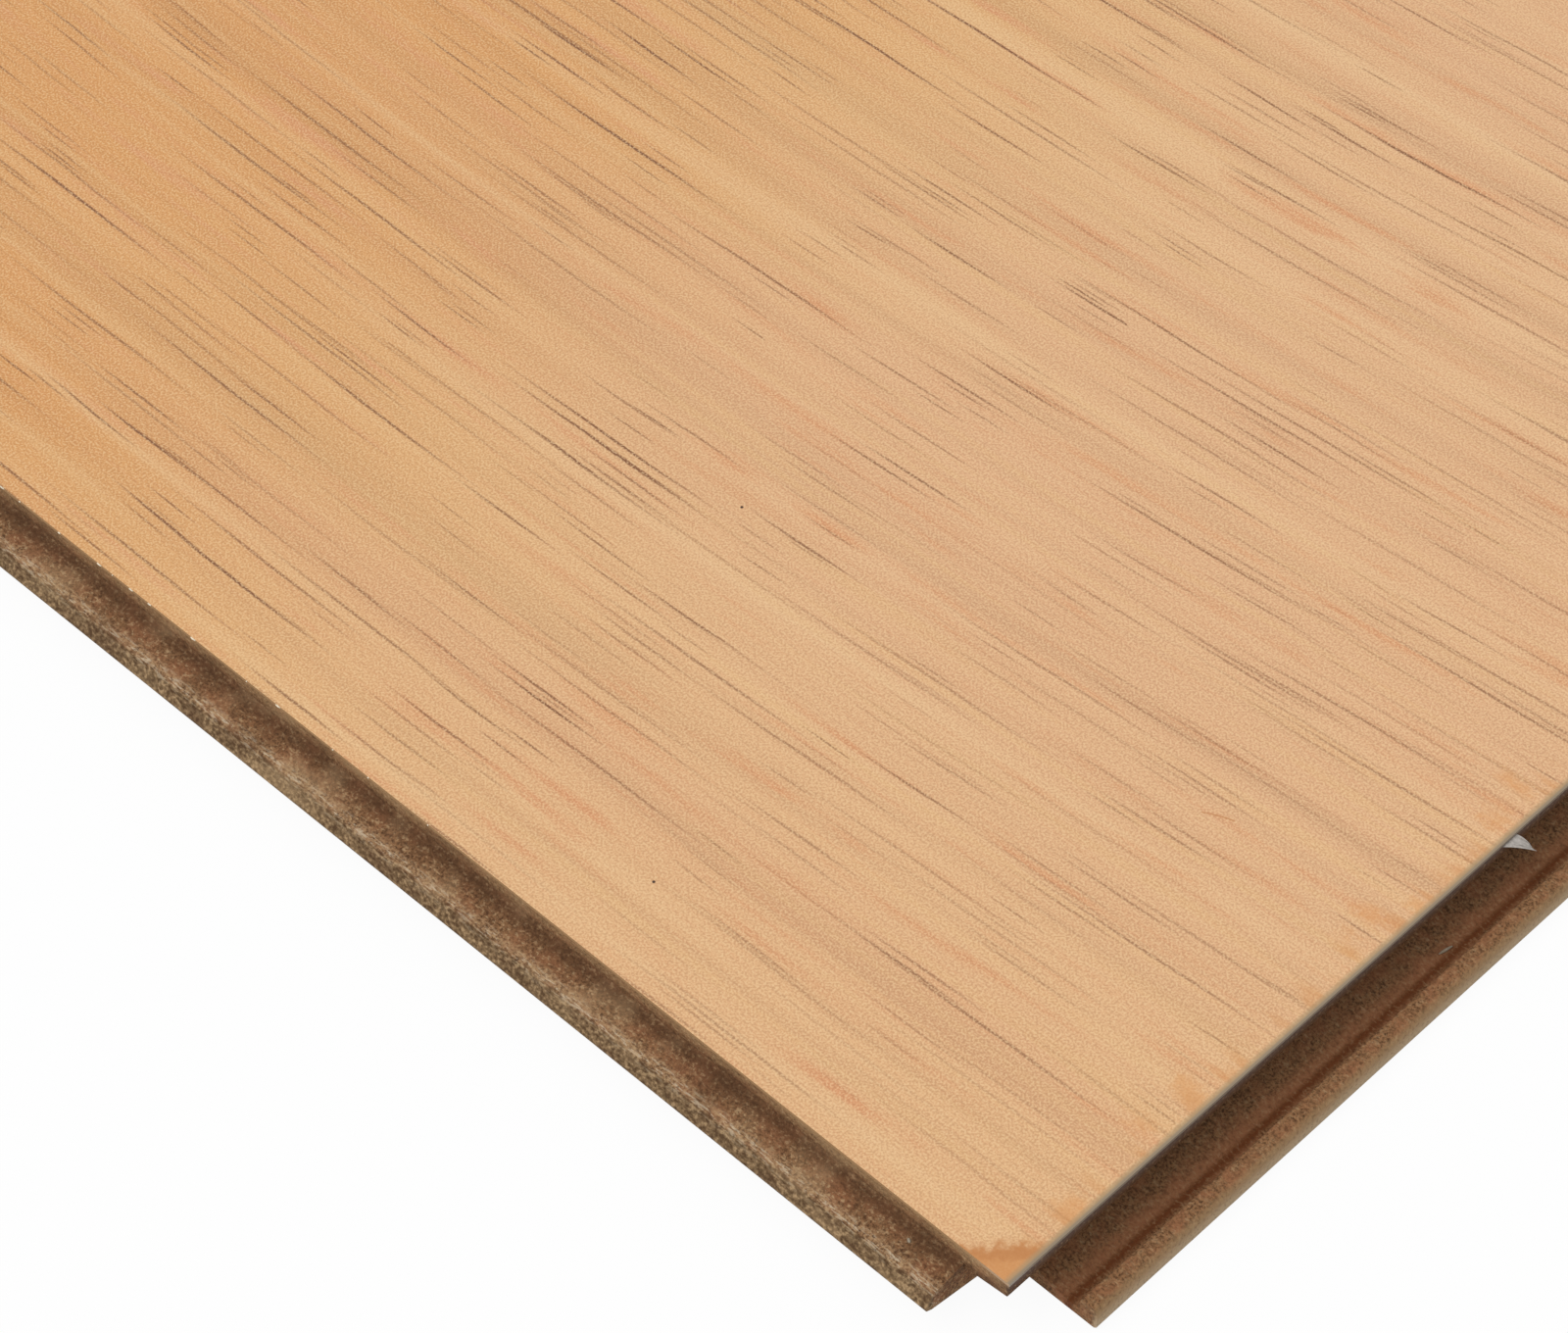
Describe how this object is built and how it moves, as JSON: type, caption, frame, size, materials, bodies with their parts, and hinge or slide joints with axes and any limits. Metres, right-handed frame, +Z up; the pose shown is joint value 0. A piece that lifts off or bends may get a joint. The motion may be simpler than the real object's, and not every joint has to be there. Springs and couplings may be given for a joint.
{
  "type": "laminate floor plank",
  "caption": "Flat laminate floor plank with a printed wood face on a fibreboard core, a tongue along one side and end and a groove with a locking lip along the others.",
  "frame": {"origin": "on the underside, below the middle of the printed face", "axes": "+X along the plank towards the end with the locking lip, +Y across it towards the side with the locking lip, +Z up out of the printed face"},
  "size_m": [1.2963, 0.2033, 0.008],
  "materials": {
    "fibreboard": "milled, unsealed fibreboard",
    "decor": "satin sealed print of light oak"
  },
  "bodies": {
    "root": {"hdf_core": "fibreboard", "decor_face": "decor"}
  },
  "joints": []
}
